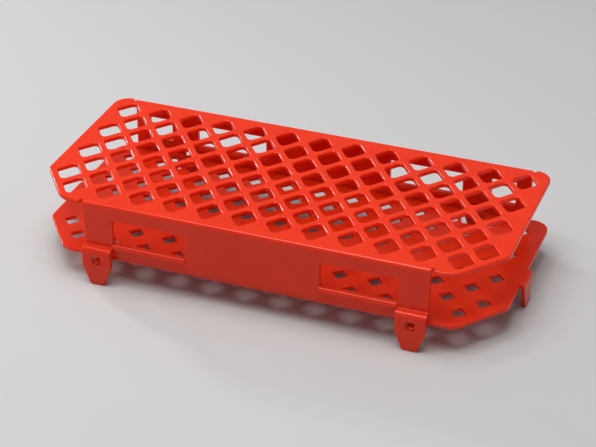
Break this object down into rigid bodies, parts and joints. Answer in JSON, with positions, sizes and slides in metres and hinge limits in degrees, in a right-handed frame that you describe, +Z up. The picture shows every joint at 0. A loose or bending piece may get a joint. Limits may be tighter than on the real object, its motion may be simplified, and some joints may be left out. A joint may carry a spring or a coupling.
{
  "type": "microcentrifuge tube rack",
  "caption": "Low two-piece plastic rack with diamond-shaped tube holes in staggered rows over a lower shelf that steadies the tube tips.",
  "frame": {"origin": "middle of the rack's footprint on the bench", "axes": "+X along the rows of tubes, +Y from the front, where the corners are cut off, to the rear, +Z up"},
  "size_m": [0.2658, 0.1268, 0.0478],
  "materials": {
    "deck": "red-orange moulded polypropylene, satin gloss",
    "shelf": "red-orange moulded polypropylene, satin gloss"
  },
  "bodies": {
    "root": {"deck": "deck", "shelf": "shelf"}
  },
  "joints": []
}
